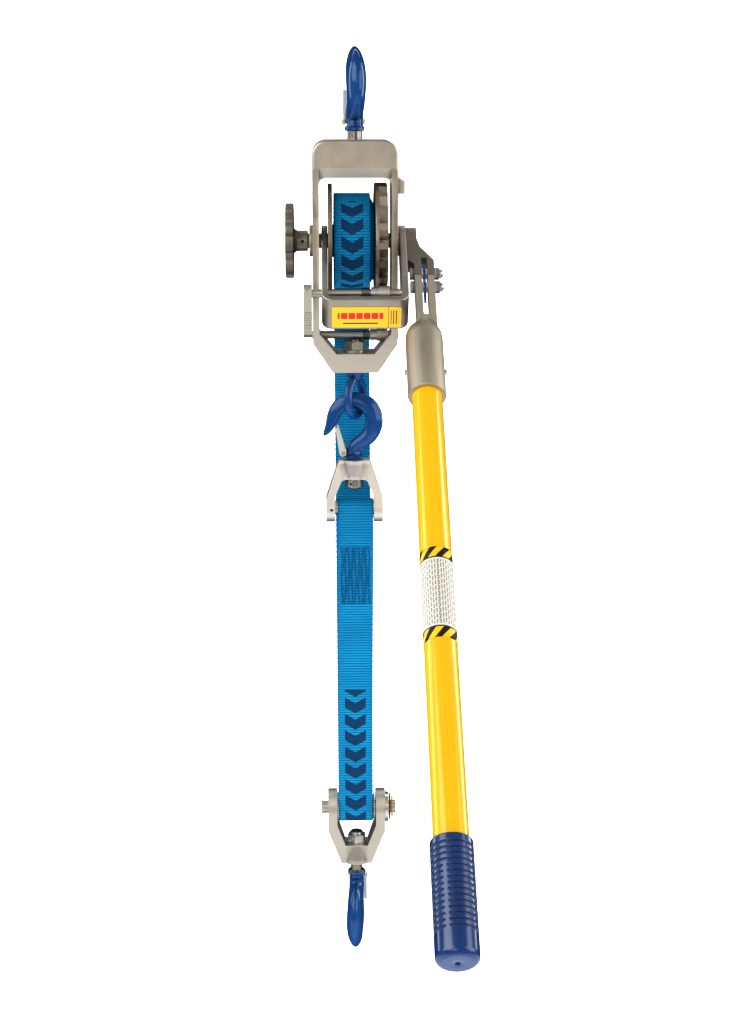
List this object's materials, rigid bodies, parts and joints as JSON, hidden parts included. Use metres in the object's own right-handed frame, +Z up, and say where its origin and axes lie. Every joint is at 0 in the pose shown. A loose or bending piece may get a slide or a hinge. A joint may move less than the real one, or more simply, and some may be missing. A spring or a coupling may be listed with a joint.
{
  "type": "web strap ratchet winch",
  "caption": "Hand-operated web strap winch: hook, ratchet drum in a forged frame, long lever handle, strap over a pulley block with a load hook.",
  "frame": {"origin": "centre of the upper hook's bowl", "axes": "+Z up along the load line, +X towards the handle tube's side, -Y towards the operator; the handle stands out towards -Y at rest"},
  "size_m": [0.1917, 0.851, 1.1605],
  "materials": {
    "satin_aluminium": "bead-blasted forged aluminium",
    "cast_aluminium": "cast aluminium, lightly polished",
    "plated_yoke": "plated pressed steel",
    "ratchet_steel": "cast and machined ratchet wheel",
    "bright_steel": "ground steel pins",
    "zinc_plated": "zinc plated",
    "latch_plate": "bright plated sheet",
    "spring_steel": "drawn spring wire",
    "pawl_steel": "investment cast steel",
    "thumb_casting": "cast and knurled",
    "brass_washer": "brass",
    "clip_steel": "oiled spring steel",
    "blue_hook": "blue paint on forged steel",
    "blue_link": "blue painted plate",
    "yellow_tube": "yellow glass-fibre tube",
    "blue_grip": "soft blue moulded grip",
    "tube_sleeve": "printed sleeve with plain rules and striped ends",
    "yoke_plate": "yellow printed plate",
    "blue_webbing": "woven polyester webbing",
    "pulley_casting": "cast pulley"
  },
  "bodies": {
    "upper_hook": {"upper_hook": "blue_hook", "upper_latch_pin": "zinc_plated", "upper_latch_spring": "spring_steel"},
    "upper_latch": {"upper_latch": "latch_plate"},
    "frame": {"frame": "satin_aluminium", "swivel_pins": "zinc_plated", "hold_pawl_shaft": "bright_steel", "hold_pawl_collar": "zinc_plated", "hold_pawl_spring": "spring_steel", "eye_washer": "zinc_plated", "strap_yoke": "satin_aluminium", "strap_pin": "bright_steel", "strap_sewn_eye": "blue_webbing", "strap_front_run": "blue_webbing", "strap_back_run": "blue_webbing"},
    "drum": {"drum_shaft": "bright_steel", "drum_spool": "cast_aluminium", "ratchet_wheel": "ratchet_steel", "wound_strap": "blue_webbing", "handwheel": "cast_aluminium", "handwheel_pin": "zinc_plated"},
    "handle": {"handle_yoke": "plated_yoke", "yoke_label": "yoke_plate", "lever_casting": "cast_aluminium", "stop_screw": "zinc_plated", "link_plate": "blue_link", "link_spacers": "zinc_plated", "link_bolts": "zinc_plated", "link_nuts": "zinc_plated", "handle_socket": "cast_aluminium", "socket_pin": "zinc_plated", "handle_tube": "yellow_tube", "tube_label": "tube_sleeve", "grip": "blue_grip", "drive_pawl_spring": "spring_steel"},
    "drive_pawl": {"drive_pawl": "pawl_steel", "drive_pawl_collar": "zinc_plated", "drive_pawl_shaft": "bright_steel", "thumb_lever": "thumb_casting", "thumb_lever_pin": "zinc_plated"},
    "hold_pawl": {"hold_pawl": "pawl_steel"},
    "anchor_eye": {"anchor_eye": "zinc_plated", "eye_nut": "zinc_plated"},
    "strap_hook": {"strap_hook": "blue_hook", "strap_hook_nut": "zinc_plated", "strap_latch_pin": "zinc_plated", "strap_latch_spring": "spring_steel"},
    "strap_latch": {"strap_latch": "latch_plate"},
    "strap_bend": {"strap_bend": "blue_webbing"},
    "block": {"block_yoke": "satin_aluminium", "pulley_pin": "bright_steel", "pin_washer": "zinc_plated", "pin_brass_washer": "brass_washer", "pin_clip": "clip_steel"},
    "pulley": {"pulley": "pulley_casting"},
    "load_hook": {"load_hook": "blue_hook", "load_hook_nut": "zinc_plated", "load_latch_pin": "zinc_plated", "load_latch_spring": "spring_steel"},
    "load_latch": {"load_latch": "latch_plate"}
  },
  "joints": [
    {"name": "upper_swivel", "type": "hinge", "parent": "upper_hook", "child": "frame", "pos_m": [0, 0, -0.09], "axis": [0, 0, 1], "continuous": true},
    {"name": "upper_latch", "type": "hinge", "parent": "upper_hook", "child": "upper_latch", "pos_m": [-0.00112, 0.01601, -0.0472], "axis": [0.9976, 0.0698, 0], "range_deg": [0, 40]},
    {"name": "drum_spin", "type": "hinge", "parent": "frame", "child": "drum", "pos_m": [0, 0, -0.1907], "axis": [1, 0, 0], "range_deg": [-606.37, 284.26]},
    {"name": "handle_swing", "type": "hinge", "parent": "frame", "child": "handle", "pos_m": [0, 0, -0.1907], "axis": [-1, 0, 0], "range_deg": [-18.95, 75.79]},
    {"name": "drive_pawl", "type": "hinge", "parent": "handle", "child": "drive_pawl", "pos_m": [0, -0.07409, -0.24807], "axis": [1, 0, 0], "range_deg": [-10, 12]},
    {"name": "hold_pawl", "type": "hinge", "parent": "frame", "child": "hold_pawl", "pos_m": [0, 0, -0.3065], "axis": [1, 0, 0], "range_deg": [-8, 9.5]},
    {"name": "anchor_eye_swivel", "type": "hinge", "parent": "frame", "child": "anchor_eye", "pos_m": [0, 0, -0.3407], "axis": [0, 0, 1], "range_deg": [0, 15]},
    {"name": "strap_hook_swivel", "type": "hinge", "parent": "frame", "child": "strap_hook", "pos_m": [-0.0013, 0, -0.4807], "axis": [0, 0, 1], "range_deg": [-12, 0]},
    {"name": "strap_latch", "type": "hinge", "parent": "strap_hook", "child": "strap_latch", "pos_m": [-0.0149, 0, -0.4541], "axis": [0, 1, 0], "range_deg": [0, 40]},
    {"name": "block_lift", "type": "slide", "parent": "frame", "child": "strap_bend", "axis": [0, 0, 1], "range_m": [-0.30001, 0.14063], "deforming": ["strap_front_run", "strap_back_run"]},
    {"name": "pulley_spin", "type": "hinge", "parent": "strap_bend", "child": "pulley", "pos_m": [0, 0, -0.9255], "axis": [1, 0, 0], "range_deg": [-1003.28, 470.82]},
    {"name": "block_swing", "type": "hinge", "parent": "strap_bend", "child": "block", "pos_m": [0, 0, -0.9255], "axis": [1, 0, 0], "range_deg": [-30, 30]},
    {"name": "load_swivel", "type": "hinge", "parent": "block", "child": "load_hook", "pos_m": [0.0005, 0, -0.9907], "axis": [0, 0, 1], "continuous": true},
    {"name": "load_latch", "type": "hinge", "parent": "load_hook", "child": "load_latch", "pos_m": [0.00223, 0.0165, -1.0259], "axis": [-0.9945, 0.1045, 0], "range_deg": [0, 40]}
  ],
  "couplings": [
    {"joint": "drum_spin", "follows": "block_lift", "rad_per_m": 35.273},
    {"joint": "pulley_spin", "follows": "block_lift", "rad_per_m": 58.309}
  ]
}
